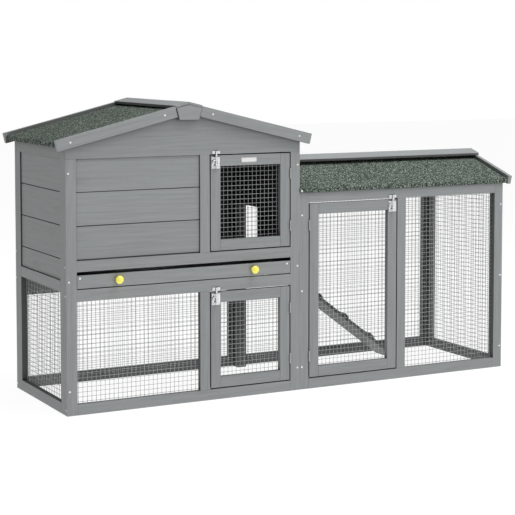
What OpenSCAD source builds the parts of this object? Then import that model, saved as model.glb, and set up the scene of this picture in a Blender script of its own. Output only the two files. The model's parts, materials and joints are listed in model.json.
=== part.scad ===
// Two-storey rabbit hutch: a raised house with a pull-out tray, and a lower
// run with its own roof, joined by a ramp. Three framed mesh doors, each with
// a pair of butt hinges and a barrel bolt.
// Layout coordinates start at the house's front left foot: X right, Y back,
// Z up. at_centre() moves them to the middle of the object's footprint.

/* [House] */
// Width of the house over its corner posts
house_w = 715; // [700:1:760]
// Depth of both frames, front face to back face
frame_d = 410; // [395:1:440]
// Height of the lower edge of the gable boards
gable_z = 693; // [690:1:720]
// Top of the rail under the lower opening's head
low_rail_z = 341; // [338:1:350]
// Top of the rail under the upper door
upper_rail_z = 419; // [416:1:425]
// Left edge of the middle post
mullion_x = 397; // [380:1:400]
// Pitch of the house roof, degrees
house_pitch = 13.7; // [12:0.1:18]
// How far the roof passes the side walls, level
house_eave = 32; // [24:1:45]

/* [Run] */
// Width of the run over its corner posts
run_w = 720; // [700:1:820]
// Height of the underside of the run's top rail
run_rail_z = 544; // [535:1:550]
// Width of the run's door opening
run_door_w = 304; // [280:1:320]
// Pitch of the run roof, degrees
run_pitch = 17; // [14:1:18]
// How far the run roof passes the front and back, level
run_eave = 11; // [8:1:16]
// How far the run roof passes the right wall
run_verge = 15; // [10:1:20]

/* [Timber] */
// Width of a batten
batten_w = 30; // [26:1:32]
// Thickness of a batten
batten_t = 15; // [12:1:16]
// Thickness of a wall plank
plank_t = 9; // [7:1:10]
// How deep the planks sit behind the frame's face
plank_recess = 4; // [2:1:5]
// Cover width of a wall plank
plank_w = 91; // [80:1:100]
// Thickness of a roof deck board
deck_t = 9; // [6:1:9]
// Thickness of the roofing felt
felt_t = 2; // [1:0.5:2.5]

/* [Doors] */
// Gap round each door leaf
door_gap = 3.2; // [2.4:0.1:3.5]
// Width of a door frame member
door_member = 30.5; // [28:0.5:36]

/* [Wire] */
// Wire pitch of the mesh
mesh_pitch = 13; // [12:1:25]
// Wire radius
wire_r = 0.6; // [0.4:0.05:0.7]

/* [Tray] */
// Height of the tray's wooden front
tray_front_h = 36; // [30:1:37]
// Height of the metal pan's walls
pan_h = 30; // [20:1:34]
// Diameter of a tray knob
knob_d = 24; // [20:1:28]
// How far a knob stands out
knob_out = 20; // [16:1:24]

/* [Ramp] */
// Height of the ramp's upper end
ramp_z = 380; // [370:1:386]
// Level distance from the wall to the ramp's foot
ramp_run = 506; // [480:1:560]
// Width of the ramp
ramp_w = 124; // [110:1:124]

/* [Hidden] */
$fn = 32;

// Hairline between two pieces of timber that butt
seam = 0.1;

// Colours
timber_tone = [0.58, 0.60, 0.60];
felt_tone = [0.30, 0.36, 0.32];
zinc_tone = [0.80, 0.81, 0.82];
knob_tone = [0.96, 0.90, 0.35];
plate_tone = [0.93, 0.93, 0.92];

// Key lines along X
post_in_l = batten_w;
post_in_r = house_w - batten_w;
mullion_in = mullion_x + batten_w;
run_l = house_w;
run_r = house_w + run_w;
run_post_in = run_l + batten_w;
run_mullion = run_post_in + run_door_w;
run_far_in = run_r - batten_w;

// Key lines along Y
back_in = frame_d - batten_t;
stile_front = [batten_t, batten_t + batten_w];
stile_back = [back_in - batten_w, back_in];
mid_y = frame_d / 2;

// Rails
middle_rail_w = 32;
opening_top = low_rail_z - middle_rail_w;
tray_top = upper_rail_z - batten_w;
side_rail = [low_rail_z - 8, low_rail_z + 22];
back_rail_z = 273;
plank_groove = 2.2;
tongue_inset = 3;

// Roof build-up, measured down from the bargeboards' top line
house_barge_w = 30;
house_barge_t = 14;
house_felt_drop = 9;
run_barge_w = 26;
run_barge_t = 12;
run_felt_drop = 10.5;
felt_lap = 12;
cap_w = 42;
cap_t = 8;
house_cap_rise = 2.5;
house_barge_top = 839;
run_barge_top = run_rail_z + 117;

// Footprint
left_reach = house_eave;
right_reach = run_r + run_verge + run_barge_t;
keystone_proud = 3;
front_reach = knob_out;
back_reach = frame_d + house_barge_t + keystone_proud;
centre_x = (right_reach - left_reach) / 2;
centre_y = (back_reach - front_reach) / 2;

// Doors: [left, right], [bottom, top], hinge side, hinge inset from each end
upper_door = [[mullion_in, post_in_r], [upper_rail_z, gable_z], 1, 44];
lower_door = [[mullion_in, post_in_r], [batten_w, opening_top], 1, 48];
run_door = [[run_post_in, run_mullion], [batten_w, run_rail_z], -1, 48];

// Hinges
hinge_len = 29;
knuckle_r = 2.2;
pin_r = 1;
pin_play = 0.05;
leaf_t = 0.9;
leaf_deep = 12;
hinge_front = knuckle_r + 0.4;
knuckle_len = (hinge_len - 1) / 3;

// Barrel bolts, in a frame at the rod's axis level with the leaf's top edge
rod_r = 2.5;
rod_play = 0.08;
rod_y = -5;
rod_above = 12.5;
rod_below = 35;
bolt_travel = 13;
strap_r = 4;
strap_h = 7;
upper_strap = -11.6;
lower_strap = -35.6;
case_w = 26;
case_z = [-36.5, -4.5];
case_t = 1.2;
case_slot_r = 1.3;
rod_slot = [[4.3, -24], [4.3, -15]];
handle_slot = [[-11, -14.5], [-7, -11.8]];
case_hole = [-4.7, -26.4];
case_hole_r = 1.8;
collar_r = 3.6;
collar_h = 3.4;
handle_r = 1.5;
handle_reach = 6.5;
handle_bend = 4;
keeper_pad = [8.5, 3, 8];
keeper_slot = 3.4;
keeper_lift = 1.8;

// Mesh
wire_step = 2 * wire_r + 0.05;
mesh_lap = 13;

// Screws
screw_r = 3;
screw_h = 0.8;
screw_inset = 7.5;
side_screw_r = 2.4;

// ---------- helpers ----------
module at_centre() translate([-centre_x, -centre_y, 0]) children();

module timber() color(timber_tone) at_centre() children();

module zinc() color(zinc_tone) at_centre() children();

// A squared piece between three pairs of limits
module piece(x, y, z)
    translate([x[0], y[0], z[0]])
        cube([x[1] - x[0], y[1] - y[0], z[1] - z[0]]);

// A profile drawn in X and Z, taken from one Y to another
module along_y(from, to)
    translate([0, to, 0]) rotate([90, 0, 0]) linear_extrude(to - from) children();

// A profile drawn in Y and Z, taken from one X to another
module along_x(from, to)
    translate([from, 0, 0]) rotate([90, 0, 90]) linear_extrude(to - from) children();

// Planks from one height up to another. A groove shows between each two, closed
// by a thin tongue on the lower plank.
module planks(x, y, bottom, top) {
    count = ceil((top - bottom) / plank_w - 0.01);
    for (i = [0 : count - 1]) {
        high = top - i * plank_w;
        low = max(bottom, high - plank_w) + (i < count - 1 ? plank_groove : 0);
        piece(x, y, [low, high]);
        if (i > 0)
            piece([x[0] + tongue_inset, x[1] - tongue_inset],
                  [y[0] + tongue_inset, y[1] - tongue_inset],
                  [high - 1, high + plank_groove - seam]);
    }
}

// Welded mesh in X and Z: upright wires, then level wires behind them
module wire_panel(x, z, y, behind) {
    w = x[1] - x[0];
    h = z[1] - z[0];
    across = floor((w - 4) / mesh_pitch);
    up = floor((h - 4) / mesh_pitch);
    for (i = [0 : across])
        translate([x[0] + (w - across * mesh_pitch) / 2 + i * mesh_pitch, y, z[0]])
            cylinder(r = wire_r, h = h, $fn = 16);
    for (j = [0 : up])
        translate([x[0], y + behind * wire_step,
                   z[0] + (h - up * mesh_pitch) / 2 + j * mesh_pitch])
            rotate([0, 90, 0]) cylinder(r = wire_r, h = w, $fn = 16);
}

// The same mesh in Y and Z
module side_wire_panel(y, z, x, behind)
    translate([x, 0, 0]) rotate([0, 0, 90]) wire_panel(y, z, 0, -behind);

// A point of a roof slope: s down the slope from the ridge line, n outwards
function on_slope(centre, top, pitch, side, s, n) = [
    centre + side * (s * cos(pitch) + n * sin(pitch)),
    top - s * sin(pitch) + n * cos(pitch)
];

// Where a level n below the top line meets the plane through the ridge
function mitre_s(pitch, n) = -n * tan(pitch);

// A board lying on a slope, mitred at the ridge, square at the eave
module slope_board(centre, top, pitch, side, s_end, high, low)
    translate([side * seam / 2, 0])
        polygon([
            on_slope(centre, top, pitch, side, mitre_s(pitch, high), high),
            on_slope(centre, top, pitch, side, s_end, high),
            on_slope(centre, top, pitch, side, s_end, low),
            on_slope(centre, top, pitch, side, mitre_s(pitch, low), low)
        ]);

// Felt on a slope, turned down plumb over the deck's edge
module slope_felt(centre, top, pitch, side, s_end, high) {
    low = high - felt_t;
    corner = on_slope(centre, top, pitch, side, s_end + felt_t, high);
    inner = corner[0] - side * felt_t;
    away = side * (inner - centre);
    translate([side * seam / 2, 0])
        polygon([
            on_slope(centre, top, pitch, side, mitre_s(pitch, high), high),
            corner,
            corner - [0, felt_lap],
            [inner, corner[1] - felt_lap],
            [inner, top + low / cos(pitch) - away * tan(pitch)],
            on_slope(centre, top, pitch, side, mitre_s(pitch, low), low)
        ]);
}

// ---------- roof lines ----------
house_mid = house_w / 2;
house_slope = (house_mid + house_eave) / cos(house_pitch);
house_deck_end = house_slope - 9;
house_felt_high = -house_felt_drop;
house_deck_low = -house_felt_drop - felt_t - deck_t;
run_slope = (mid_y + run_eave) / cos(run_pitch);
run_deck_end = run_slope - 5;
run_felt_high = -run_felt_drop;
run_deck_low = -run_felt_drop - felt_t - deck_t;

// Underside of each deck, a level distance away from its ridge
function house_under(away) =
    house_barge_top + house_deck_low / cos(house_pitch) - away * tan(house_pitch);
function run_under(away) =
    run_barge_top + run_deck_low / cos(run_pitch) - away * tan(run_pitch);

house_wall_top = house_under(house_mid);
run_wall_top = run_under(mid_y);

// ---------- house frame ----------
module house_posts() timber() {
    for (y = [0, back_in])
        for (x = [0, post_in_r])
            piece([x, x + batten_w], [y, y + batten_t], [0, gable_z]);
    piece([mullion_x, mullion_in], [0, batten_t], [batten_w, opening_top]);
    piece([mullion_x, mullion_in], [0, batten_t], [upper_rail_z, gable_z]);
}

module house_side_stiles() timber()
    for (x = [0, house_w - batten_t])
        for (y = [stile_front, stile_back])
            piece([x, x + batten_t], y, [0, house_wall_top]);

module house_cross_rails() timber() {
    span = [post_in_l, post_in_r];
    front = [0, batten_t];
    back = [back_in, frame_d];
    piece(span, front, [0, batten_w]);
    piece(span, front, [opening_top, low_rail_z]);
    piece(span, front, [tray_top, upper_rail_z]);
    piece(span, back, [0, batten_w]);
    piece(span, back, [back_rail_z, back_rail_z + batten_w]);
}

module house_side_rails() timber() {
    span = [stile_front[1], stile_back[0]];
    left = [0, batten_t];
    right = [house_w - batten_t, house_w];
    piece(left, span, [0, batten_w]);
    piece(left, span, side_rail);
    piece(left, span, [gable_z, house_wall_top]);
    piece(right, span, side_rail);
    piece(right, span, [gable_z, house_wall_top]);
}

module house_front_planks() timber()
    planks([post_in_l, mullion_x], [plank_recess, plank_recess + plank_t],
           upper_rail_z, gable_z);

module house_back_planks() timber()
    planks([post_in_l, post_in_r],
           [frame_d - plank_recess - plank_t, frame_d - plank_recess],
           back_rail_z + batten_w, gable_z);

module house_left_planks() timber()
    planks([plank_recess, plank_recess + plank_t],
           [stile_front[1], stile_back[0]], side_rail[1], gable_z);

// Doorway from the house into the run, beside the back stile
doorway_y = [239, stile_back[0]];
doorway_z = [387, gable_z - 2 * plank_w];

module house_right_planks() timber() difference() {
    planks([house_w - plank_recess - plank_t, house_w - plank_recess],
           [stile_front[1], stile_back[0]], side_rail[1], gable_z);
    piece([house_w - batten_t, house_w], [doorway_y[0], doorway_y[1] + 1], doorway_z);
}

module house_gables() timber()
    for (y = [0, back_in])
        along_y(y, y + batten_t)
            polygon([
                [0, gable_z], [house_w, gable_z], [house_w, house_wall_top],
                [house_mid, house_under(0)], [0, house_wall_top]
            ]);

// ---------- house mesh and tray runners ----------
module house_front_mesh() zinc()
    wire_panel([batten_t + 2, mullion_x + mesh_lap],
               [batten_w - mesh_lap, opening_top + mesh_lap],
               batten_t + wire_r + 0.05, 1);

module house_left_mesh() zinc()
    side_wire_panel([stile_front[1] - mesh_lap, stile_back[0] + mesh_lap],
                    [batten_w - mesh_lap, side_rail[0] + mesh_lap],
                    batten_t + wire_r + 0.05, 1);

module house_back_mesh() zinc()
    wire_panel([batten_t + 2, house_w - batten_t - 2],
               [batten_w - mesh_lap, back_rail_z + mesh_lap],
               back_in - wire_r - 0.05, -1);

runner_gap = 3;
runner_w = 28;

module tray_runners() timber() {
    left = batten_t + runner_gap;
    right = house_w - left - runner_w;
    for (x = [left, right])
        piece([x, x + runner_w], [batten_t, back_in],
              [low_rail_z - batten_t, low_rail_z]);
}

// ---------- house roof ----------
module house_roof_decks() timber() along_y(0, frame_d)
    for (side = [-1, 1])
        slope_board(house_mid, house_barge_top, house_pitch, side, house_deck_end,
                    house_felt_high - felt_t - seam, house_deck_low);

module house_roof_felts() color(felt_tone) at_centre() along_y(0, frame_d)
    for (side = [-1, 1])
        slope_felt(house_mid, house_barge_top, house_pitch, side, house_deck_end,
                   house_felt_high);

// Keystones: half widths at the shoulder and the foot, height of the foot
keystone_half = [38, 29.3];
keystone_foot = house_barge_top - 47;
keystone_gap = 2;
keystone_top = house_barge_top + (house_cap_rise - cap_t) / cos(house_pitch) - seam;
keystone_shoulder = keystone_top - keystone_half[0] * tan(house_pitch);
keystone_lean =
    (keystone_half[0] - keystone_half[1]) / (keystone_shoulder - keystone_foot);

// Where a line under the bargeboards' top line meets the gap beside a keystone
function barge_start(under) =
    (keystone_half[1] + keystone_gap
     + (house_barge_top - under - keystone_foot) * keystone_lean)
    / (1 + tan(house_pitch) * keystone_lean);

// The upper end of a bargeboard follows the keystone's side
module house_barge_outline(side) {
    deep = house_barge_w / cos(house_pitch);
    polygon([
        for (under = [deep, 0])
            [house_mid + side * barge_start(under),
             house_barge_top - under - barge_start(under) * tan(house_pitch)],
        on_slope(house_mid, house_barge_top, house_pitch, side, house_slope, 0),
        on_slope(house_mid, house_barge_top, house_pitch, side, house_slope,
                 -house_barge_w)
    ]);
}

module house_bargeboards() timber()
    for (y = [-house_barge_t, frame_d])
        along_y(y, y + house_barge_t)
            for (side = [-1, 1])
                house_barge_outline(side);

// The caps lie on the keystones, between the bargeboards' upper ends
module house_ridge_caps() timber() along_y(-house_barge_t, frame_d + house_barge_t)
    for (side = [-1, 1])
        slope_board(house_mid, house_barge_top, house_pitch, side, cap_w,
                    house_cap_rise, house_cap_rise - cap_t);

module house_keystones() timber()
    for (y = [-house_barge_t - keystone_proud, frame_d])
        along_y(y, y + house_barge_t + keystone_proud)
            polygon([
                [house_mid, keystone_top],
                [house_mid + keystone_half[0], keystone_shoulder],
                [house_mid + keystone_half[1], keystone_foot],
                [house_mid - keystone_half[1], keystone_foot],
                [house_mid - keystone_half[0], keystone_shoulder]
            ]);

// ---------- run frame ----------
module run_posts() timber() {
    for (y = [0, back_in])
        for (x = [run_l, run_far_in])
            piece([x, x + batten_w], [y, y + batten_t], [0, run_wall_top]);
    piece([run_mullion, run_mullion + batten_w], [0, batten_t], [batten_w, run_rail_z]);
}

module run_side_stiles() timber()
    for (x = [run_l, run_r - batten_t])
        for (y = [stile_front, stile_back])
            piece([x, x + batten_t], y, [0, run_wall_top]);

module run_cross_rails() timber()
    for (y = [0, back_in])
        for (z = [[0, batten_w], [run_rail_z, run_wall_top]])
            piece([run_post_in, run_far_in], [y, y + batten_t], z);

module run_side_rails() timber() {
    span = [stile_front[1], stile_back[0]];
    right = [run_r - batten_t, run_r];
    piece(right, span, [0, batten_w]);
    piece(right, span, [run_rail_z, run_wall_top]);
    piece([run_l, run_l + batten_t], span, [run_rail_z, run_wall_top]);
}

module run_gable() timber()
    along_x(run_r - batten_t, run_r)
        polygon([
            [batten_t, run_wall_top], [back_in, run_wall_top],
            [back_in, run_under(back_in - mid_y)], [mid_y, run_under(0)],
            [batten_t, run_under(mid_y - batten_t)]
        ]);

module run_front_mesh() zinc()
    wire_panel([run_mullion + batten_w - mesh_lap, run_r - batten_t - 2],
               [batten_w - mesh_lap, run_rail_z + mesh_lap],
               batten_t + wire_r + 0.05, 1);

module run_right_mesh() zinc()
    side_wire_panel([stile_front[1] - mesh_lap, stile_back[0] + mesh_lap],
                    [batten_w - mesh_lap, run_rail_z + mesh_lap],
                    run_r - batten_t - wire_r - 0.05, -1);

module run_back_mesh() zinc()
    wire_panel([run_l + batten_t + 2, run_r - batten_t - 2],
               [batten_w - mesh_lap, run_rail_z + mesh_lap],
               back_in - wire_r - 0.05, -1);

// ---------- run roof ----------
run_verge_x = run_r + run_verge;

module run_roof_decks() timber() along_x(run_l, run_verge_x)
    for (side = [-1, 1])
        slope_board(mid_y, run_barge_top, run_pitch, side, run_deck_end,
                    run_felt_high - felt_t - seam, run_deck_low);

module run_roof_felts() color(felt_tone) at_centre() along_x(run_l, run_verge_x)
    for (side = [-1, 1])
        slope_felt(mid_y, run_barge_top, run_pitch, side, run_deck_end, run_felt_high);

module run_bargeboards() timber()
    along_x(run_verge_x, run_verge_x + run_barge_t)
        for (side = [-1, 1])
            slope_board(mid_y, run_barge_top, run_pitch, side, run_slope,
                        0, -run_barge_w);

// The caps lie on the bargeboards, from the house wall to the verge
module run_ridge_caps() timber() along_x(run_l, run_verge_x + run_barge_t)
    for (side = [-1, 1])
        slope_board(mid_y, run_barge_top, run_pitch, side, cap_w, cap_t, seam);

// ---------- ramp ----------
ramp_t = 10;
ramp_side = [stile_back[0] - 1 - ramp_w, stile_back[0] - 1];
ramp_angle = atan(ramp_z / ramp_run);
ramp_len = ramp_z / sin(ramp_angle);
ramp_top_x = run_l + 0.5;
ramp_foot_x = ramp_top_x + ramp_run;
cleat_first = 25;
cleat_step = 116;
cleat_count = 5;
cleat_long = 24;
cleat_high = 7;

module ramp_board() timber() along_y(ramp_side[0], ramp_side[1])
    polygon([
        [ramp_top_x, ramp_z], [ramp_foot_x, 0],
        [ramp_foot_x - ramp_t / sin(ramp_angle), 0],
        [ramp_top_x, ramp_z - ramp_t / cos(ramp_angle)]
    ]);

module ramp_cleats() timber()
    for (i = [0 : cleat_count - 1])
        translate([ramp_foot_x, 0, 0])
            rotate([0, ramp_angle, 0])
                translate([-cleat_first - i * cleat_step, 0, 0])
                    along_y(ramp_side[0], ramp_side[1]) cleat_outline();

// A cleat from the side: flat underneath, rounded on its uphill edge
module cleat_outline()
    polygon([
        [-cleat_long / 2, 0], [cleat_long / 2, 0], [cleat_long / 2, cleat_high * 0.6],
        [cleat_long / 6, cleat_high * 0.8],
        for (a = [90 : 15 : 180])
            [-cleat_long / 4 + cleat_long / 4 * cos(a), cleat_high * sin(a)]
    ]);

// ---------- doors ----------
function leaf_x(door) = [door[0][0] + door_gap, door[0][1] - door_gap];
function leaf_z(door) = [door[1][0] + door_gap, door[1][1] - door_gap];
function hinge_x(door) =
    door[2] > 0 ? door[0][1] - door_gap / 2 : door[0][0] + door_gap / 2;
function hinge_bottoms(door) =
    [leaf_z(door)[0] + door[3], leaf_z(door)[1] - door[3] - hinge_len];
function rod_x(door) =
    door[2] > 0 ? leaf_x(door)[0] + door_member / 2 : leaf_x(door)[1] - door_member / 2;

// Two full-height stiles with two rails between them
module door_frame(door) timber() {
    x = leaf_x(door);
    z = leaf_z(door);
    for (left = [x[0], x[1] - door_member])
        piece([left, left + door_member], [0, batten_t], z);
    for (low = [z[0], z[1] - door_member])
        piece([x[0] + door_member + seam, x[1] - door_member - seam],
              [0, batten_t], [low, low + door_member]);
}

module door_mesh(door) zinc() {
    inset = door_member - mesh_lap;
    x = leaf_x(door);
    z = leaf_z(door);
    wire_panel([x[0] + inset, x[1] - inset], [z[0] + inset, z[1] - inset],
               batten_t + wire_r + 0.05, 1);
}

// One hinge leaf about the pin's axis. toward is the side its plate is on.
module hinge_leaf(toward, knuckles)
    difference() {
        union() {
            for (k = knuckles)
                translate([0, 0, k * (knuckle_len + 0.5)]) {
                    cylinder(r = knuckle_r, h = knuckle_len);
                    translate([toward > 0 ? 0.25 : -0.25 - leaf_t, 0, 0])
                        cube([leaf_t, hinge_front + 1, knuckle_len]);
                }
            translate([toward > 0 ? 0.25 : -0.25 - leaf_t, hinge_front, 0])
                cube([leaf_t, leaf_deep, hinge_len]);
        }
        translate([0, 0, -1]) cylinder(r = pin_r + pin_play, h = hinge_len + 2);
    }

module at_hinges(door)
    for (z = hinge_bottoms(door))
        translate([hinge_x(door), -hinge_front, z])
            children();

module door_hinge_leaves(door) zinc()
    at_hinges(door) hinge_leaf(-door[2], [1]);

module frame_hinge_leaves() zinc()
    for (door = [upper_door, lower_door, run_door])
        at_hinges(door) hinge_leaf(door[2], [0, 2]);

module hinge_pins() zinc()
    for (door = [upper_door, lower_door, run_door])
        at_hinges(door)
            translate([0, 0, -0.8]) cylinder(r = pin_r, h = hinge_len + 1.6);

// ---------- barrel bolts ----------
module at_bolt(door)
    translate([rod_x(door), 0, leaf_z(door)[1]]) children();

// A strap round the rod, seen along the rod
module strap_outline()
    difference() {
        union() {
            translate([0, rod_y]) circle(strap_r);
            translate([-strap_r, rod_y]) square([2 * strap_r, -rod_y - case_t / 2]);
            translate([-2 * strap_r, -2 * case_t])
                square([4 * strap_r, 1.5 * case_t]);
        }
        translate([0, rod_y]) circle(rod_r + rod_play);
    }

// The case's plate from the front, with the openings punched through it
module case_outline()
    difference() {
        translate([-case_w / 2, case_z[0]])
            square([case_w, case_z[1] - case_z[0]]);
        for (slot = [rod_slot, handle_slot])
            hull()
                for (end = slot)
                    translate(end) circle(case_slot_r);
        translate(case_hole) circle(case_hole_r);
    }

module bolt_case(door) zinc() at_bolt(door) {
    union() {
        along_y(-case_t, 0) case_outline();
        for (z = [lower_strap, upper_strap])
            translate([0, 0, z]) linear_extrude(strap_h) strap_outline();
    }
    for (x = [-1, 1])
        for (z = [case_z[0] + 4, case_z[1] - 4])
            translate([x * (case_w / 2 - 2.6), -case_t, z])
                rotate([90, 0, 0]) cylinder(r = 1.8, h = 0.8);
}

module bolt_rod(door) zinc() at_bolt(door)
    translate([0, rod_y, -rod_below]) cylinder(r = rod_r, h = rod_below + rod_above);

// A collar on the rod, with an arm that bends down to a ball
module bolt_handle(door) zinc() at_bolt(door)
    translate([0, rod_y, upper_strap - 0.4 - collar_h]) {
        difference() {
            union() {
                cylinder(r = collar_r, h = collar_h);
                translate([0, 0, collar_h / 2]) rotate([0, -90, 0])
                    cylinder(r = handle_r, h = handle_reach);
            }
            translate([0, 0, -1]) cylinder(r = rod_r + rod_play, h = collar_h + 2);
        }
        translate([-handle_reach, 0, collar_h / 2 - handle_bend])
            rotate([90, 0, 0]) rotate_extrude(angle = 90, start = 90)
                translate([handle_bend, 0]) circle(handle_r);
        translate([-handle_reach - handle_bend, 0, collar_h / 2 - handle_bend - 2.5])
            cylinder(r = handle_r, h = 2.5);
        translate([-handle_reach - handle_bend, 0, collar_h / 2 - handle_bend - 3.4])
            sphere(r = 2.2);
    }

// Two pads beside the rod's upper end, each with its screw head
module bolt_keepers() zinc()
    for (door = [upper_door, lower_door, run_door])
        translate([rod_x(door), 0, door[1][1] + keeper_lift])
            for (side = [-1, 1]) {
                near = side * keeper_slot;
                far = side * (keeper_slot + keeper_pad[0]);
                piece([min(near, far), max(near, far)], [-keeper_pad[1], 0],
                      [0, keeper_pad[2]]);
                translate([(near + far) / 2, -keeper_pad[1], keeper_pad[2] / 2])
                    rotate([90, 0, 0]) cylinder(r = 2.2, h = 0.8);
            }

// ---------- the three doors and their bolts ----------
module upper_door_frame() door_frame(upper_door);
module upper_door_mesh() door_mesh(upper_door);
module upper_door_hinge_leaves() door_hinge_leaves(upper_door);
module upper_bolt_case() bolt_case(upper_door);
module upper_bolt_rod() bolt_rod(upper_door);
module upper_bolt_handle() bolt_handle(upper_door);
module lower_door_frame() door_frame(lower_door);
module lower_door_mesh() door_mesh(lower_door);
module lower_door_hinge_leaves() door_hinge_leaves(lower_door);
module lower_bolt_case() bolt_case(lower_door);
module lower_bolt_rod() bolt_rod(lower_door);
module lower_bolt_handle() bolt_handle(lower_door);
module run_door_frame() door_frame(run_door);
module run_door_mesh() door_mesh(run_door);
module run_door_hinge_leaves() door_hinge_leaves(run_door);
module run_bolt_case() bolt_case(run_door);
module run_bolt_rod() bolt_rod(run_door);
module run_bolt_handle() bolt_handle(run_door);

// ---------- tray ----------
tray_gap = 1;
tray_lift = 2.5;
tray_front_z = low_rail_z + tray_lift;
pan_t = 1;

module tray_front() timber()
    piece([post_in_l + tray_gap, post_in_r - tray_gap], [0, batten_t],
          [tray_front_z, tray_front_z + tray_front_h]);

module tray_pan() zinc() {
    x = [post_in_l + tray_gap, post_in_r - tray_gap];
    y = [batten_t, back_in - 3];
    z = [low_rail_z + 0.5, low_rail_z + pan_h];
    difference() {
        piece(x, y, z);
        piece([x[0] + pan_t, x[1] - pan_t], [y[0] + pan_t, y[1] - pan_t],
              [z[0] + pan_t, z[1] + 1]);
    }
}

knob_x = [149, 564];
knob_up = 1;

knob_flutes = 8;
flute_r = 5;
flute_bite = 0.8;

// A knob with a neck and a shallow domed cap, its rim fluted for grip
module tray_knobs() color(knob_tone) at_centre()
    for (x = knob_x)
        translate([x, 0, tray_front_z + tray_front_h / 2 + knob_up])
            rotate([90, 0, 0])
                difference() {
                    knob_blank();
                    for (i = [0 : knob_flutes - 1])
                        rotate(i * 360 / knob_flutes)
                            translate([knob_d / 2 + flute_r - flute_bite, 0, 9])
                                cylinder(r = flute_r, h = knob_out);
                }

// The knob as turned, before its flutes are cut
module knob_blank()
    rotate_extrude($fn = 48)
        polygon([
            [0, 0], [7, 0], [6, 5], [6.5, 8], [knob_d / 2 - 1, 10.5],
            [knob_d / 2, 12.5],
            for (a = [15 : 15 : 90])
                [knob_d / 2 * cos(a), 12.5 + (knob_out - 12.5) * sin(a)]
        ]);

module tray_screws() zinc()
    for (x = [post_in_l + 9, post_in_r - 12])
        front_screw(x, tray_front_z + tray_front_h - 8);

// ---------- plate and screws ----------
plate_size = [49, 1.2, 14];
plate_aside = 6;

module door_name_plate() color(plate_tone) at_centre()
    translate([(leaf_x(upper_door)[0] + leaf_x(upper_door)[1]) / 2 - plate_aside,
               -plate_size[1], leaf_z(upper_door)[1] - door_member / 2])
        rotate([-90, 0, 0]) linear_extrude(plate_size[1])
            plate_outline();

// The plate's outline with its corners cut
module plate_outline() {
    w = plate_size[0] / 2;
    h = plate_size[2] / 2;
    c = 2;
    polygon([[-w + c, -h], [w - c, -h], [w, -h + c], [w, h - c],
             [w - c, h], [-w + c, h], [-w, h - c], [-w, -h + c]]);
}

// A round head standing on the front face
module front_screw(x, z, y = 0)
    translate([x, y, z]) rotate([90, 0, 0]) cylinder(r = screw_r, h = screw_h);

// The same head on the back face
module back_screw(x, z)
    translate([x, frame_d, z]) rotate([-90, 0, 0]) cylinder(r = screw_r, h = screw_h);

// A smaller head on a side wall; away is the side of the hutch it faces
module side_screw(x, y, z, away)
    translate([x, y, z]) rotate([0, away * 90, 0])
        cylinder(r = side_screw_r, h = screw_h);

module frame_screws() zinc() {
    for (x = [screw_inset, house_w - screw_inset])
        for (z = [66, opening_top + 54, gable_z - 38]) {
            front_screw(x, z);
            back_screw(x, z);
        }
    for (x = [run_l + screw_inset, run_r - screw_inset])
        for (z = [66, 288, run_rail_z - 36]) {
            front_screw(x, z);
            back_screw(x, z);
        }
    felt_nail = on_slope(mid_y, run_barge_top, run_pitch, -1, run_deck_end + felt_t,
                         run_felt_high);
    front_screw(run_l + 4, felt_nail[1] - 7, felt_nail[0] - seam / 2);
    for (side = [-1, 1])
        for (s = [79, 362]) {
            spot = on_slope(house_mid, house_barge_top, house_pitch, side, s,
                            -house_barge_w / 2);
            front_screw(spot[0], spot[1], -house_barge_t);
        }
    for (y = [screw_inset, frame_d - screw_inset]) {
        for (z = [batten_w / 2, opening_top + 16, tray_top + 14])
            side_screw(0, y, z, -1);
        for (z = [batten_w / 2, run_rail_z + 16])
            side_screw(run_r, y, z, 1);
    }
}

house_posts();
house_side_stiles();
house_cross_rails();
house_side_rails();
house_front_planks();
house_back_planks();
house_left_planks();
house_right_planks();
house_gables();
house_front_mesh();
house_left_mesh();
house_back_mesh();
tray_runners();
house_roof_decks();
house_roof_felts();
house_bargeboards();
house_ridge_caps();
house_keystones();
run_posts();
run_side_stiles();
run_cross_rails();
run_side_rails();
run_front_mesh();
run_right_mesh();
run_back_mesh();
run_gable();
run_roof_decks();
run_roof_felts();
run_bargeboards();
run_ridge_caps();
ramp_board();
ramp_cleats();
bolt_keepers();
frame_hinge_leaves();
hinge_pins();
frame_screws();
tray_front();
tray_pan();
tray_knobs();
tray_screws();
upper_door_frame();
upper_door_mesh();
upper_door_hinge_leaves();
upper_bolt_case();
upper_bolt_rod();
upper_bolt_handle();
door_name_plate();
lower_door_frame();
lower_door_mesh();
lower_door_hinge_leaves();
lower_bolt_case();
lower_bolt_rod();
lower_bolt_handle();
run_door_frame();
run_door_mesh();
run_door_hinge_leaves();
run_bolt_case();
run_bolt_rod();
run_bolt_handle();
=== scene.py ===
"""Rabbit hutch: timber, felt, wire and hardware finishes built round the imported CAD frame."""
import json
import math
import random

import bmesh
import bpy
from mathutils import Matrix, Vector, noise


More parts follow.
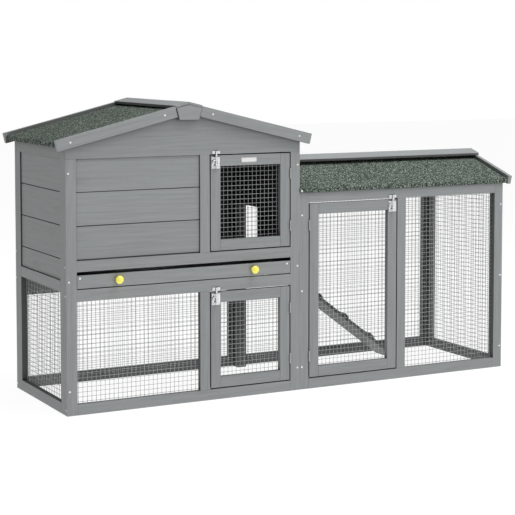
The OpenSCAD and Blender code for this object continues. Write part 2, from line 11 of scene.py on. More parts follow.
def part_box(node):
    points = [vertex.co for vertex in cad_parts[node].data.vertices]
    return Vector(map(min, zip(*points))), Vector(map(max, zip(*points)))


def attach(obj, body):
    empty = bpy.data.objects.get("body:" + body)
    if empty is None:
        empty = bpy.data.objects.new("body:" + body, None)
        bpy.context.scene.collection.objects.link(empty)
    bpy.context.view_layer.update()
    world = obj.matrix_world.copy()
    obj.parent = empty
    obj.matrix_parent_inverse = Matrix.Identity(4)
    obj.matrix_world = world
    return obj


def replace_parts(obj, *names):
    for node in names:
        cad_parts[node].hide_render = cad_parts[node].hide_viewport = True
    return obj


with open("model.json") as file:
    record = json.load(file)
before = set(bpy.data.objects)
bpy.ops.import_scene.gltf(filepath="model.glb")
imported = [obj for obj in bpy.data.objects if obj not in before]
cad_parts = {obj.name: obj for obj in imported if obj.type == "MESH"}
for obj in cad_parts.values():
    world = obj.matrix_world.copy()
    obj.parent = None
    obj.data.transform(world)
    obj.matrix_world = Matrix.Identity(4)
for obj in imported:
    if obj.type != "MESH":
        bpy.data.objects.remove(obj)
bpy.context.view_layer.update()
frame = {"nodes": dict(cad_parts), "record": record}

RECORD = frame["record"]
BODIES = RECORD["behaviour"]["bodies"]
BODY_OF = {node: body for body, nodes in BODIES.items() for node in nodes}
SLOT_OF = {row["node"]: row["material_slot"] for row in RECORD["subparts"]}
MM = 0.001
# Blender's noise functions start from the clock unless they are seeded
NOISE_SEED = 31
noise.seed_set(NOISE_SEED)

# ---------------------------------------------------------------- scene setup
CAMERA_AT = (-2.1782, -4.0763, 0.983)
CAMERA_YAW = 27.786
CAMERA_DIP = 3.849
CAMERA_LENS = 108.33
CAMERA_SHIFT = -0.2
AMBIENT = 0.13
LIGHTS_AIM = (0, 0, 0.4)
OVERHEAD = {"at": (0.6, -0.8, 3.4), "size": 2.6, "power": 103}
FRONT = {"at": (1.4, -4.4, 1.9), "size": 2.0, "power": 14}
FLOOR_REACH = 14
FLOOR_DROP = 0.3 * MM


def add_camera():
    """The camera stands front left, a little above the roof, and looks slightly down."""
    data = bpy.data.cameras.new("camera")
    data.sensor_width = 36
    data.lens = CAMERA_LENS
    data.shift_y = CAMERA_SHIFT
    data.clip_end = 60
    camera = bpy.data.objects.new("camera", data)
    bpy.context.scene.collection.objects.link(camera)
    camera.location = CAMERA_AT
    camera.rotation_euler = (math.radians(90 - CAMERA_DIP), 0, math.radians(-CAMERA_YAW))
    bpy.context.scene.camera = camera


def add_light(name, at, size, power):
    """A square softbox that faces the middle of the hutch."""
    data = bpy.data.lights.new(name, "AREA")
    data.shape = "SQUARE"
    data.size = size
    data.energy = power
    lamp = bpy.data.objects.new(name, data)
    bpy.context.scene.collection.objects.link(lamp)
    lamp.location = at
    lamp.rotation_euler = (Vector(LIGHTS_AIM) - Vector(at)).to_track_quat("-Z", "Y").to_euler()


def add_studio():
    """A white backdrop, a big softbox overhead, a weak one in front and the floor."""
    world = bpy.data.worlds.new("studio")
    bpy.context.scene.world = world
    world.use_nodes = True
    tree = world.node_tree
    back = tree.nodes["Background"]
    back.inputs["Color"].default_value = (1, 1, 1, 1)
    seen = tree.nodes.new("ShaderNodeLightPath").outputs["Is Camera Ray"]
    level = tree.nodes.new("ShaderNodeMapRange")
    tree.links.new(seen, level.inputs[0])
    level.inputs[3].default_value = AMBIENT
    level.inputs[4].default_value = 1.0
    tree.links.new(level.outputs[0], back.inputs["Strength"])
    add_light("overhead", **OVERHEAD)
    add_light("front", **FRONT)
    bpy.context.scene.view_settings.view_transform = "Standard"
    bpy.context.scene.view_settings.look = "None"
    bpy.context.scene.view_settings.exposure = 0.0
    mesh = bpy.data.meshes.new("floor")
    far = FLOOR_REACH
    mesh.from_pydata([(-far, -far, 0), (far, -far, 0), (far, far, 0), (-far, far, 0)],
                     [], [(0, 1, 2, 3)])
    floor = bpy.data.objects.new("floor", mesh)
    bpy.context.scene.collection.objects.link(floor)
    floor.location.z = -FLOOR_DROP
    floor.visible_shadow = False
    floor.data.materials.append(make_floor())


# ---------------------------------------------------------------- node helpers
class Shader:
    """A short way to write a material's nodes."""

    def __init__(self, name):
        self.material = bpy.data.materials.new(name)
        self.material.use_nodes = True
        self.tree = self.material.node_tree
        self.tree.nodes.clear()
        self.out = self.tree.nodes.new("ShaderNodeOutputMaterial")
        self.bsdf = self.tree.nodes.new("ShaderNodeBsdfPrincipled")
        self.link(self.bsdf.outputs[0], self.out.inputs[0])

    def link(self, source, target):
        self.tree.links.new(source, target)

    def put(self, socket, value):
        """A socket takes another node's output or a plain value."""
        if isinstance(value, bpy.types.NodeSocket):
            self.link(value, socket)
        else:
            socket.default_value = value

    def node(self, kind, settings=None, **inputs):
        made = self.tree.nodes.new("ShaderNode" + kind)
        for key, value in (settings or {}).items():
            setattr(made, key, value)
        for key, value in inputs.items():
            self.put(made.inputs[key.replace("_", " ")], value)
        return made

    def set(self, **inputs):
        for key, value in inputs.items():
            self.put(self.bsdf.inputs[key.replace("_", " ")], value)

    def attribute(self, name, output="Vector"):
        return self.node("Attribute", {"attribute_name": name}).outputs[output]

    def place(self):
        """The piece's own coordinates, in metres."""
        return self.node("TexCoord").outputs["Object"]

    def stretch(self, vector, scale):
        return self.node("Mapping", Vector=vector, Scale=scale).outputs[0]

    def noise(self, vector, scale, detail=2.0, rough=0.5, distortion=0.0):
        made = self.node("TexNoise", Vector=vector, Scale=scale, Detail=detail,
                         Roughness=rough, Distortion=distortion)
        return made.outputs[0]

    def cells(self, vector, scale, output="Distance"):
        return self.node("TexVoronoi", Vector=vector, Scale=scale).outputs[output]

    def channel(self, colour, index):
        """One of a colour's three numbers."""
        return self.node("SeparateColor", Color=colour).outputs[index]

    def maths(self, operation, a, b=0.0):
        made = self.node("Math", {"operation": operation})
        self.put(made.inputs[0], a)
        self.put(made.inputs[1], b)
        return made.outputs[0]

    def span(self, value, low, high, to_low=0.0, to_high=1.0):
        """Maps a range onto another and clamps it."""
        made = self.node("MapRange", Value=value)
        made.inputs[1].default_value = low
        made.inputs[2].default_value = high
        made.inputs[3].default_value = to_low
        made.inputs[4].default_value = to_high
        return made.outputs[0]

    def mix(self, factor, a, b, blend="MIX"):
        made = self.node("MixRGB", {"blend_type": blend})
        self.put(made.inputs[0], factor)
        self.put(made.inputs[1], a)
        self.put(made.inputs[2], b)
        return made.outputs[0]

    def ramp(self, value, stops):
        made = self.node("ValToRGB", Fac=value)
        bar = made.color_ramp
        while len(bar.elements) < len(stops):
            bar.elements.new(0.5)
        for element, (at, colour) in zip(bar.elements, stops):
            element.position = at
            element.color = (*colour, 1)
        return made.outputs[0]

    def about(self, shade, feature, depth):
        """The shade with a feature of 0 to 1 added to it, taken as plus or minus a half."""
        return self.maths("ADD", shade,
                          self.maths("MULTIPLY", self.maths("SUBTRACT", feature, 0.5), depth))

    def painted_crowd_shade(self, reach, closed, open_at, dark):
        """Painted shade: 1 in the open, falling to dark where other surfaces crowd within reach.
        """
        made = self.node("AmbientOcclusion", {"samples": 8}, Distance=reach)
        return self.span(made.outputs["AO"], closed, open_at, dark, 1.0)

    def grey(self, value):
        return self.node("CombineColor", Red=value, Green=value, Blue=value).outputs[0]

    def bump(self, height, distance, strength):
        return self.node("Bump", Height=height, Distance=distance, Strength=strength).outputs[0]


# ---------------------------------------------------------------- materials
WHITE = (1, 1, 1, 1)
FLOOR_TONE = (0.12, 0.12, 0.12, 1)
FLOOR_GLOW = 0.95

# Timber: lines per metre along the grain and across it
STREAKS = (2.6, 105, 105)
FIBRES = (9, 420, 420)
WARP = (1.4, 9, 9)
PORES = (55, 1500, 1500)
KNOTS = (3.2, 11, 11)
RUBS = (60, 160, 160)
RING_TURNS = 330.0
RING_WARP = 34.0
# Timber: how far each feature moves the tone
STREAK_DEPTH = 0.27
FIBRE_DEPTH = 0.42
RING_DEPTH = 0.035
BOARD_DEPTH = 0.07
PORE_DEPTH = 0.07
KNOT_DEPTH = 0.10
# Painted shade: faces within the walls are painted this much darker, as they get little light
INSIDE_PAINTED_SHADE = 0.42
RUB_DEPTH = 0.35
RUB_LIGHT = 1.5
GRAIN_RELIEF = 0.22 * MM

# Felt
GRIT = 620.0
STONE = 380.0
STONE_SHARE = 0.72
FELT_PATCHES = 9.0
PATCH_DEPTH = 0.20
FELT_TONE = 0.83
FELT_RELIEF = 0.6 * MM
STONE_TONES = [
    (0.0, (0.006, 0.009, 0.007)), (0.30, (0.028, 0.042, 0.032)),
    (0.55, (0.080, 0.112, 0.088)), (0.78, (0.22, 0.26, 0.22)), (1.0, (0.85, 0.87, 0.82))]

# Painted shade, darker where surfaces crowd: reach, crowded below, open above, darkest
JOINT_SHADE = (7 * MM, 0.15, 0.55, 0.20)
ROOM_SHADE = (500 * MM, 0.35, 0.86, 0.30)
FELT_SHADE = (11 * MM, 0.35, 0.80, 0.05)
METAL_SHADE = (6 * MM, 0.20, 0.70, 0.30)


def make_floor():
    s = Shader("floor_white")
    s.set(Base_Color=FLOOR_TONE, Roughness=0.9, Emission_Color=WHITE,
          Emission_Strength=FLOOR_GLOW, Specular_IOR_Level=0.0)
    return s.material


def make_timber(name, tone):
    """Grey stained softwood. The attribute "grain" runs along each board's length,
    "board" is a number of its own for each board, "wear" is 1 on rubbed edges and
    "inside" is up to 1 on faces within the walls, which get little light and are
    painted darker there as painted shade."""
    s = Shader(name)
    grain = s.attribute("grain")
    fibres = s.noise(s.stretch(grain, FIBRES), 1.0, 3.0, 0.6)
    streaks = s.noise(s.stretch(grain, STREAKS), 1.0, 4.0, 0.66, 0.35)
    warp = s.noise(s.stretch(grain, WARP), 1.0, 2.0, 0.5)
    across = s.node("SeparateXYZ", Vector=grain).outputs["Y"]
    rings = s.maths("ADD", s.maths("MULTIPLY", across, RING_TURNS),
                    s.maths("MULTIPLY", warp, RING_WARP))
    rings = s.span(s.maths("SINE", rings), -1.0, 1.0)
    pores = s.span(s.noise(s.stretch(grain, PORES), 1.0, 1.0, 0.5), 0.60, 0.74)
    knots = s.span(s.cells(s.stretch(grain, KNOTS), 1.0), 0.05, 0.16, 1.0, 0.0)

    shade = s.about(1.0, streaks, STREAK_DEPTH)
    shade = s.about(shade, fibres, FIBRE_DEPTH)
    shade = s.about(shade, rings, RING_DEPTH)
    shade = s.about(shade, s.attribute("board", "Fac"), BOARD_DEPTH)
    shade = s.maths("SUBTRACT", shade, s.maths("MULTIPLY", pores, PORE_DEPTH))
    shade = s.maths("SUBTRACT", shade, s.maths("MULTIPLY", knots, KNOT_DEPTH))
    # Painted shade: darker in joints, in crowded rooms and on faces within the walls
    painted_inside_shade = s.span(s.attribute("inside", "Fac"), 0.0, 1.0, 1.0, INSIDE_PAINTED_SHADE)
    for factor in (s.painted_crowd_shade(*JOINT_SHADE), s.painted_crowd_shade(*ROOM_SHADE), painted_inside_shade):
        shade = s.maths("MULTIPLY", shade, factor)

    scuffs = s.span(s.noise(s.stretch(grain, RUBS), 1.0, 3.0), 0.45, 0.70)
    rub = s.maths("MULTIPLY", s.attribute("wear", "Fac"), scuffs)
    light = tuple(min(1.0, c * RUB_LIGHT) for c in tone)
    base = s.mix(s.maths("MULTIPLY", rub, RUB_DEPTH), (*tone, 1), (*light, 1))
    height = s.maths("ADD", s.maths("MULTIPLY", fibres, 0.6), s.maths("MULTIPLY", streaks, 0.8))
    height = s.maths("SUBTRACT", height, s.maths("MULTIPLY", pores, 0.5))
    s.set(Base_Color=s.mix(1.0, base, s.grey(shade), "MULTIPLY"),
          Roughness=s.span(streaks, 0.3, 0.7, 0.52, 0.70),
          Normal=s.bump(height, GRAIN_RELIEF, 0.75), Specular_IOR_Level=0.32)
    return s.material


def make_felt():
    """Bitumen felt faced with green mineral granules, in patches of tone, with painted shade where
    the cap and trim crowd close.
    """
    s = Shader("felt_granules")
    at = s.place()
    grit = s.node("TexVoronoi", Vector=at, Scale=GRIT)
    tint = s.maths("MULTIPLY", s.channel(grit.outputs["Color"], 0), 1.0 - STONE_SHARE)
    coarse = s.maths("MULTIPLY", s.channel(s.cells(at, STONE, "Color"), 1), STONE_SHARE)
    stones = s.ramp(s.maths("ADD", tint, coarse), STONE_TONES)
    patches = s.maths("MULTIPLY", s.noise(at, FELT_PATCHES, 4.0, 0.6), PATCH_DEPTH)
    patches_and_shade = s.maths("ADD", patches, FELT_TONE)
    # Painted shade: darker under the cap and beside the trim
    patches_and_shade = s.maths("MULTIPLY", patches_and_shade, s.painted_crowd_shade(*FELT_SHADE))
    height = s.maths("SUBTRACT", 1.0, grit.outputs["Distance"])
    s.set(Base_Color=s.mix(1.0, stones, s.grey(patches_and_shade), "MULTIPLY"), Roughness=0.88,
          Normal=s.bump(height, FELT_RELIEF, 0.9), Specular_IOR_Level=0.25)
    return s.material


def make_metal(name, tone, metallic, rough, mottle, scale):
    """Zinc coated steel: a faint spangle in the colour, clouds in it and in the roughness, and
    painted shade where other surfaces crowd close.
    """
    s = Shader(name)
    at = s.place()
    spangle = s.channel(s.cells(at, scale, "Color"), 0)
    cloud = s.noise(at, scale * 0.35, 4.0, 0.6)
    shade = s.maths("ADD", s.maths("MULTIPLY", spangle, mottle),
                    s.maths("MULTIPLY", cloud, mottle))
    shade = s.maths("ADD", shade, 1.0 - mottle)
    # Painted shade: darker in slots and where parts crowd close
    shade = s.maths("MULTIPLY", shade, s.painted_crowd_shade(*METAL_SHADE))
    s.set(Base_Color=s.mix(1.0, (*tone, 1), s.grey(shade), "MULTIPLY"), Metallic=metallic,
          Roughness=s.span(cloud, 0.3, 0.7, rough * 0.8, rough * 1.3),
          Normal=s.bump(cloud, 0.1 * MM, 0.4))
    return s.material


def make_knob():
    """Glossy moulded plastic with faint orange-peel and a weak painted glow, painted light that
    lifts its yellow.
    """
    s = Shader("knob_yellow")
    at = s.place()
    peel = s.noise(at, 900.0, 2.0)
    cloud = s.noise(at, 60.0, 3.0)
    s.set(Base_Color=s.mix(cloud, (0.94, 0.85, 0.13, 1), (1.0, 0.92, 0.17, 1)),
          Roughness=s.span(cloud, 0.3, 0.7, 0.28, 0.42), Normal=s.bump(peel, 0.05 * MM, 0.4),
          # Painted light: a weak glow, though the knob is no lamp
          Emission_Color=(1.0, 0.90, 0.15, 1), Emission_Strength=0.22,
          Coat_Weight=0.3, Coat_Roughness=0.15)
    return s.material


def make_plate():
    """White enamelled plate, slightly yellowed and scuffed."""
    s = Shader("plate_white")
    at = s.place()
    scuff = s.noise(s.stretch(at, (260, 900, 900)), 1.0, 4.0)
    cloud = s.noise(at, 40.0, 3.0)
    s.set(Base_Color=s.mix(cloud, (0.92, 0.92, 0.91, 1), (0.97, 0.97, 0.96, 1)),
          Roughness=s.span(scuff, 0.35, 0.65, 0.25, 0.45), Normal=s.bump(scuff, 0.04 * MM, 0.3))
    return s.material


def make_plate_line():
    """The darker enamel line round the plate."""
    s = Shader("plate_line")
    cloud = s.noise(s.place(), 300.0, 3.0)
    s.set(Base_Color=s.mix(cloud, (0.16, 0.17, 0.17, 1), (0.22, 0.23, 0.23, 1)),
          Roughness=s.span(cloud, 0.3, 0.7, 0.3, 0.5))
    return s.material


STAIN = (0.335, 0.350, 0.352)
MATERIALS = {
    "painted_timber": make_timber("timber_grey", STAIN),
    "roofing_felt": make_felt(),
    "galvanised_wire": make_metal("wire_zinc", (0.46, 0.47, 0.47), 0.3, 0.45, 0.10, 400.0),
    "zinc_hardware": make_metal("zinc_bright", (0.96, 0.97, 0.98), 0.45, 0.30, 0.05, 260.0),
    "tray_sheet": make_metal("tray_zinc", (0.66, 0.67, 0.68), 1.0, 0.38, 0.16, 70.0),
    "knob_plastic": make_knob(),
    "name_plate": make_plate(),
}
DULL_ZINC = make_metal("zinc_dull", (0.52, 0.53, 0.54), 0.5, 0.42, 0.10, 200.0)
PLATE_LINE = make_plate_line()


# ---------------------------------------------------------------- piece helpers
MERGE = 0.02 * MM
FLAT = math.radians(1.0)
SHARP = 0.3
BOARD_EDGE = 0.6 * MM
BOARD_BOW = 0.35 * MM
BOARD_ROUND = 0.62
BOARD_CUT = 70 * MM
SWAYS_PER_METRE = 5
GRAIN_SHIFT = 40
FELT_EDGE = 0.5 * MM
FELT_ROUND = 0.5
FELT_CUT = 12 * MM
# How the felt lies: waves per metre and how far they move it, then the share that lifts it
FELT_WAVES = ((11, 0.35 * MM), (90, 0.12 * MM))
FELT_LIFT = 0.4


def add_piece(mesh, node, material, smooth=False):
    """Puts a piece in the scene on the body of the CAD node it belongs to."""
    piece = bpy.data.objects.new(mesh.name, mesh)
    bpy.context.scene.collection.objects.link(piece)
    mesh.materials.append(material)
    for face in mesh.polygons:
        face.use_smooth = smooth
    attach(piece, BODY_OF[node])
    return piece


def to_mesh(target, name):
    mesh = bpy.data.meshes.new(name)
    target.to_mesh(mesh)
    target.free()
    return mesh


def settle(mesh, node, smooth=False):
    """Puts a piece in the scene in place of a CAD node."""
    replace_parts(add_piece(mesh, node, MATERIALS[SLOT_OF[node]], smooth), node)


def extent(part):
    """The low and high corners of a solid's box."""
    spots = [v.co for v in part.verts]
    return [Vector([pick(at[i] for at in spots) for i in range(3)]) for pick in (min, max)]


def sharp_edges(part):
    return [e for e in part.edges if len(e.link_faces) == 2 and e.calc_face_angle(0) > SHARP]


def solids(node):
    """The node's separate solids, each as a bmesh with its flat faces whole."""
    whole = bmesh.new()
    whole.from_mesh(frame["nodes"][node].data)
    bmesh.ops.remove_doubles(whole, verts=whole.verts, dist=MERGE)
    whole.verts.index_update()
    whole.faces.index_update()
    seen = set()
    parts = []
    for start in whole.verts:
        if start in seen:
            continue
        group = {start}
        fresh = [start]
        while fresh:
            here = fresh.pop()
            for edge in here.link_edges:
                other = edge.other_vert(here)
                if other not in group:
                    group.add(other)
                    fresh.append(other)
        seen |= group
        part = bmesh.new()
        copy = {v: part.verts.new(v.co) for v in sorted(group, key=lambda v: v.index)}
        for face in sorted({f for v in group for f in v.link_faces}, key=lambda f: f.index):
            part.faces.new([copy[v] for v in face.verts])
        part.normal_update()
        bmesh.ops.dissolve_limit(part, angle_limit=FLAT, verts=part.verts, edges=part.edges)
        part.normal_update()
        parts.append(part)
    whole.free()
    parts.sort(key=lambda part: [round(c, 4) for c in extent(part)[0]])
    return parts


def rounded(vector):
    return tuple(round(c, 5) for c in vector)


def board_axes(part):
    """Along the grain, across it, and out of the widest face. Edges or faces of one
    size are told apart by where they lie, so that each run picks the same one."""
    longest = max(part.edges, key=lambda e: (round(e.calc_length(), 5),
                                             rounded(e.verts[0].co + e.verts[1].co)))
    along = (longest.verts[1].co - longest.verts[0].co).normalized()
    if max(along, key=abs) < 0:
        along = -along
    widest = max(part.faces, key=lambda f: (round(f.calc_area(), 7), rounded(f.normal)))
    out = widest.normal.copy()
    out = (out - along * out.dot(along)).normalized()
    return along, out.cross(along), out


def copy_part(part, target, place):
    """Copies a solid into the target with each corner moved by place(). The corners and
    faces are sorted by where they lie, so that each run gives the same mesh. Returns the
    new corner of each old one and the pairs of old and new faces."""
    copy = {v: target.verts.new(place(v)) for v in sorted(part.verts, key=lambda v: v.co[:])}
    turned = []
    for face in part.faces:
        corners = list(face.verts)
        first = min(range(len(corners)), key=lambda i: corners[i].co[:])
        turned.append((corners[first:] + corners[:first], face))
    turned.sort(key=lambda row: [v.co[:] for v in row[0]])
    faces = [(face, target.faces.new([copy[v] for v in corners])) for corners, face in turned]
    return copy, faces


def cut_lengthwise(part, along, step):
    """Adds cross cuts along a board, so that it can bow a little."""
    reach = [v.co.dot(along) for v in part.verts]
    low, high = min(reach), max(reach)
    cuts = int((high - low) / step)
    for i in range(1, cuts + 1):
        at = along * (low + (high - low) * i / (cuts + 1))
        bmesh.ops.bisect_plane(part, geom=part.verts[:] + part.edges[:] + part.faces[:],
                               plane_co=at, plane_no=along, dist=1e-6)


# A face is inside, and gets painted shade, if it lies this far behind the walls' outer
# planes. A ledge, which faces up or down, has to lie deeper, because half of it can be
# in the open.
HOUSE_LOW, HOUSE_HIGH = (Vector(c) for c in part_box("house_posts"))
RUN_HIGH = Vector(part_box("run_posts")[1])
REVEAL = 7.25 * MM
LEDGE = 15.5 * MM
LEVEL = 0.5
# Inside faces that face up take this share of the painted shade, as light falls on them
LIT_FLOOR = 0.5
OUTSIDE = ("keystones", "bargeboards", "ridge_caps")


def is_inside(node):
    """Whether a node's inward faces can take painted shade: it is fixed and no part of a roof's
    trim.
    """
    return BODY_OF[node] == "frame" and not node.endswith(OUTSIDE)


def inside(face):
    """The share of painted shade: 0 for a face near the walls' outer planes, 1 behind them and
    less if it faces up, where light falls on it.
    """
    at = face.calc_center_median()
    right = RUN_HIGH.x if at.z < RUN_HIGH.z else HOUSE_HIGH.x
    depth = min(at.x - HOUSE_LOW.x, right - at.x, at.y - HOUSE_LOW.y, HOUSE_HIGH.y - at.y)
    if depth < (LEDGE if abs(face.normal.z) > LEVEL else REVEAL):
        return 0.0
    return LIT_FLOOR if face.normal.z > LEVEL else 1.0


def dress_board(part, rng, target, layers, fixed):
    """Rounds a board's edges, bows it by a hair and adds it to the target mesh."""
    along, across, out = board_axes(part)
    made = bmesh.ops.bevel(part, geom=sharp_edges(part), offset=BOARD_EDGE, segments=2,
                           profile=BOARD_ROUND, affect="EDGES", clamp_overlap=True)
    rubbed = set(made["verts"])
    wear_layer = part.verts.layers.float.new("wear")
    for v in part.verts:
        v[wear_layer] = 1.0 if v in rubbed else 0.0
    cut_lengthwise(part, along, BOARD_CUT)
    shift = Vector([rng.uniform(-GRAIN_SHIFT, GRAIN_SHIFT) for _ in range(3)])
    tone = rng.random()
    grain, board, wear, dim = layers
    part.normal_update()

    def bowed(v):
        sway = noise.noise_vector(along * v.co.dot(along) * SWAYS_PER_METRE + shift) * BOARD_BOW
        return v.co + across * sway.y + out * sway.z

    copy, faces = copy_part(part, target, bowed)
    for v, new in copy.items():
        new[grain] = Vector((v.co.dot(along), v.co.dot(across), v.co.dot(out))) + shift
        new[board] = tone
        new[wear] = v[wear_layer]
    for face, new in faces:
        # How much painted shade each face within the walls gets
        new[dim] = inside(face) if fixed else 0.0
    part.free()


def make_boards(node):
    """A timber node's boards, each with its own grain, tone and rubbed edges."""
    rng = random.Random(node)
    target = bmesh.new()
    layers = (target.verts.layers.float_vector.new("grain"),
              target.verts.layers.float.new("board"),
              target.verts.layers.float.new("wear"),
              target.faces.layers.float.new("inside"))
    for part in solids(node):
        dress_board(part, rng, target, layers, is_inside(node))
    settle(to_mesh(target, node + "_boards"), node)


def uneven(v):
    """Where a corner of the felt lies: moved a little, in broad waves and fine ones."""
    move = Vector()
    for waves, reach in FELT_WAVES:
        move += noise.noise_vector(v.co * waves) * reach
    return v.co + Vector((move.x, move.y, abs(move.z) * FELT_LIFT))


def make_felt_sheets(node):
    """The felt, laid slightly uneven and cut not quite straight."""
    target = bmesh.new()
    for part in solids(node):
        along = board_axes(part)[0]
        bmesh.ops.bevel(part, geom=sharp_edges(part), offset=FELT_EDGE, segments=2,
                        profile=FELT_ROUND, affect="EDGES", clamp_overlap=True)
        cut_lengthwise(part, along, FELT_CUT)
        copy_part(part, target, uneven)
        part.free()
    settle(to_mesh(target, node + "_sheets"), node)


# ---------------------------------------------------------------- wire mesh
PITCH = 13 * MM
WIRE_R = 0.65 * MM
WIRE_SIDES = 6
END_ROOM = 4 * MM
END_GAP = 0.2 * MM
CALM_EDGE = 20 * MM
LAYER_OFF = 0.84
# How a wire wanders: waves per metre, where in the noise, and how far
WIRE_WANDERS = ((6, 0, 0.35 * MM), (38, 5, 0.10 * MM))
WANDER_DEEP = 0.12
WIRE_SHIFT = 50
WIRE_START = (7.3, 1.9)


def add_wire(target, points, side, up):
    """A tube along the points; side and up span its cross-section."""
    rings = []
    for point in points:
        ring = []
        for k in range(WIRE_SIDES):
            turn = 2 * math.pi * k / WIRE_SIDES
            reach = (side * math.cos(turn) + up * math.sin(turn)) * WIRE_R
            ring.append(target.verts.new(point + reach))
        rings.append(ring)
    for a, b in zip(rings, rings[1:]):
        for k in range(WIRE_SIDES):
            face = target.faces.new((a[k], a[(k + 1) % WIRE_SIDES], b[(k + 1) % WIRE_SIDES], b[k]))
            face.smooth = True
    target.faces.new(list(reversed(rings[0])))
    target.faces.new(rings[-1])


def make_wire_panel(node):
    """Welded mesh whose wires wander a little, as cut from a roll."""
    low, high = (Vector(c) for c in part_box(node))
    size = high - low
    thin = min(range(3), key=lambda i: size[i])
    wide = 0 if thin == 1 else 1
    width, height = size[wide], size[2]
    wide_axis = Vector((1, 0, 0)) if wide == 0 else Vector((0, 1, 0))
    thin_axis = Vector((0, 1, 0)) if thin == 1 else Vector((1, 0, 0))
    up_axis = Vector((0, 0, 1))
    middle = (low[thin] + high[thin]) / 2
    start = Vector((random.Random(node).uniform(-WIRE_SHIFT, WIRE_SHIFT), *WIRE_START))

    def spot(w, h, layer):
        """A point of the panel, w across and h up, in the front or back layer."""
        wander = Vector()
        for waves, level, reach in WIRE_WANDERS:
            wander += noise.noise_vector(Vector((w * waves, h * waves, level)) + start) * reach
        edge = min(w, width - w, h, height - h) / CALM_EDGE
        wander *= max(0.0, min(1.0, edge))
        at = wide_axis * (low[wide] + w + wander.x) + up_axis * (low[2] + h + wander.y)
        depth = middle + layer * WIRE_R * LAYER_OFF + wander.z * WANDER_DEEP
        return at + thin_axis * depth

    def lines(length):
        count = math.floor((length - END_ROOM) / PITCH)
        first = (length - count * PITCH) / 2
        return [first + i * PITCH for i in range(count + 1)]

    target = bmesh.new()
    uprights, levels = lines(width), lines(height)
    for w in uprights:
        stations = [END_GAP] + levels + [height - END_GAP]
        add_wire(target, [spot(w, h, -1) for h in stations], wide_axis, thin_axis)
    for h in levels:
        stations = [END_GAP] + uprights + [width - END_GAP]
        add_wire(target, [spot(w, h, 1) for w in stations], thin_axis, up_axis)
    bmesh.ops.recalc_face_normals(target, faces=target.faces)
    settle(to_mesh(target, node + "_wires"), node, smooth=True)


# ---------------------------------------------------------------- knobs and plate
KNOB_FLUTES = 8
KNOB_SIDES = 96
KNOB_BITE = 0.065
KNOB_NECK = [(0.0, 0.58), (0.05, 0.55), (0.25, 0.50), (0.38, 0.53), (0.46, 0.74), (0.53, 0.94)]
KNOB_RIM = 0.62
FLUTES_FROM = 0.4
PLATE_INSET = 1.1 * MM
LINE_W = 0.6 * MM
LINE_PROUD = 0.12 * MM
RIVET_R = 1.2 * MM
RIVET_DOME = 0.5
RIVET_SIDES = 20
RIVET_RINGS = 10
RIVET_INSET = 4 * MM


def knob_profile():
    """Distance out from the face and radius, both as shares of the knob's own size."""
    dome = [(KNOB_RIM + (1 - KNOB_RIM) * math.sin(a), math.cos(a))
            for a in (math.radians(10 * k) for k in range(9))]
    return KNOB_NECK + dome


def make_knobs(node):
    """Fluted knobs with a domed front, in the places of the plain ones."""
    target = bmesh.new()
    for part in solids(node):
        low, high = extent(part)
        part.free()
        middle = (low + high) / 2
        radius, length = (high.z - low.z) / 2, high.y - low.y
        rings = []
        for out, share in knob_profile():
            fluted = KNOB_BITE if out > FLUTES_FROM else 0.0
            ring = []
            for k in range(KNOB_SIDES):
                turn = 2 * math.pi * k / KNOB_SIDES
                bite = fluted * (0.5 + 0.5 * math.cos(KNOB_FLUTES * turn)) * share
                reach = radius * share * (1 - bite)
                ring.append(target.verts.new((middle.x + reach * math.cos(turn),
                                              high.y - length * out,
                                              middle.z + reach * math.sin(turn))))
            rings.append(ring)
        for a, b in zip(rings, rings[1:]):
            for k in range(KNOB_SIDES):
                after = (k + 1) % KNOB_SIDES
                target.faces.new((a[k], a[after], b[after], b[k]))
        tip = target.verts.new((middle.x, low.y, middle.z))
        for k in range(KNOB_SIDES):
            target.faces.new((rings[-1][k], rings[-1][(k + 1) % KNOB_SIDES], tip))
        target.faces.new(rings[0])
    bmesh.ops.recalc_face_normals(target, faces=target.faces)
    settle(to_mesh(target, node + "_fluted"), node, smooth=True)


def add_block(target, low, high):
    """A squared block between two corners."""
    made = bmesh.ops.create_cube(target, size=1.0)
    for v in made["verts"]:
        v.co = Vector(((low[i] + high[i]) / 2 + v.co[i] * (high[i] - low[i]) for i in range(3)))


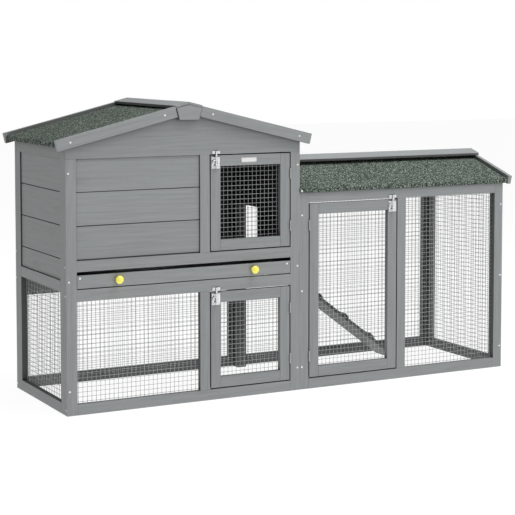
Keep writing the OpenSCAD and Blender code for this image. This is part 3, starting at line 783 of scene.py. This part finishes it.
def dress_plate(node):
    """A dark line near the plate's edge and a rivet at each end."""
    low, high = (Vector(c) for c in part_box(node))
    left, right = low.x + PLATE_INSET, high.x - PLATE_INSET
    foot, head = low.z + PLATE_INSET, high.z - PLATE_INSET
    front, back = low.y - LINE_PROUD, low.y + LINE_PROUD
    target = bmesh.new()
    for a, b in ((foot, foot + LINE_W), (head - LINE_W, head)):
        add_block(target, (left, front, a), (right, back, b))
    for a, b in ((left, left + LINE_W), (right - LINE_W, right)):
        add_block(target, (a, front, foot + LINE_W), (b, back, head - LINE_W))
    add_piece(to_mesh(target, node + "_line"), node, PLATE_LINE)
    target = bmesh.new()
    for x in (low.x + RIVET_INSET, high.x - RIVET_INSET):
        spot = Matrix.Translation((x, low.y, (low.z + high.z) / 2))
        rivet = bmesh.new()
        bmesh.ops.create_uvsphere(rivet, u_segments=RIVET_SIDES, v_segments=RIVET_RINGS,
                                  radius=RIVET_R,
                                  matrix=spot @ Matrix.Diagonal((1, RIVET_DOME, 1, 1)))
        copy_part(rivet, target, lambda v: v.co)
        rivet.free()
    add_piece(to_mesh(target, node + "_rivets"), node, MATERIALS["zinc_hardware"], smooth=True)


# ---------------------------------------------------------------- hardware
HARDWARE_EDGE = 0.2 * MM
SHEET_EDGE = 0.3 * MM
BEVEL_OVER = math.radians(40)


def finish_cad(node, edge):
    """A CAD node whose shape is right: broken edges and its own material."""
    piece = frame["nodes"][node]
    dull = "hinge" in node
    piece.data.materials.clear()
    piece.data.materials.append(DULL_ZINC if dull else MATERIALS[SLOT_OF[node]])
    bevel = piece.modifiers.new("edges", "BEVEL")
    bevel.width = edge
    bevel.segments = 2
    bevel.limit_method = "ANGLE"
    bevel.angle_limit = BEVEL_OVER
    bevel.harden_normals = False


# ---------------------------------------------------------------- build
for node, slot in SLOT_OF.items():
    if slot == "painted_timber":
        make_boards(node)
    elif slot == "roofing_felt":
        make_felt_sheets(node)
    elif slot == "galvanised_wire":
        make_wire_panel(node)
    elif slot == "knob_plastic":
        make_knobs(node)
    elif slot == "zinc_hardware":
        finish_cad(node, HARDWARE_EDGE)
    else:
        finish_cad(node, SHEET_EDGE)
    if slot == "name_plate":
        dress_plate(node)

add_studio()
add_camera()
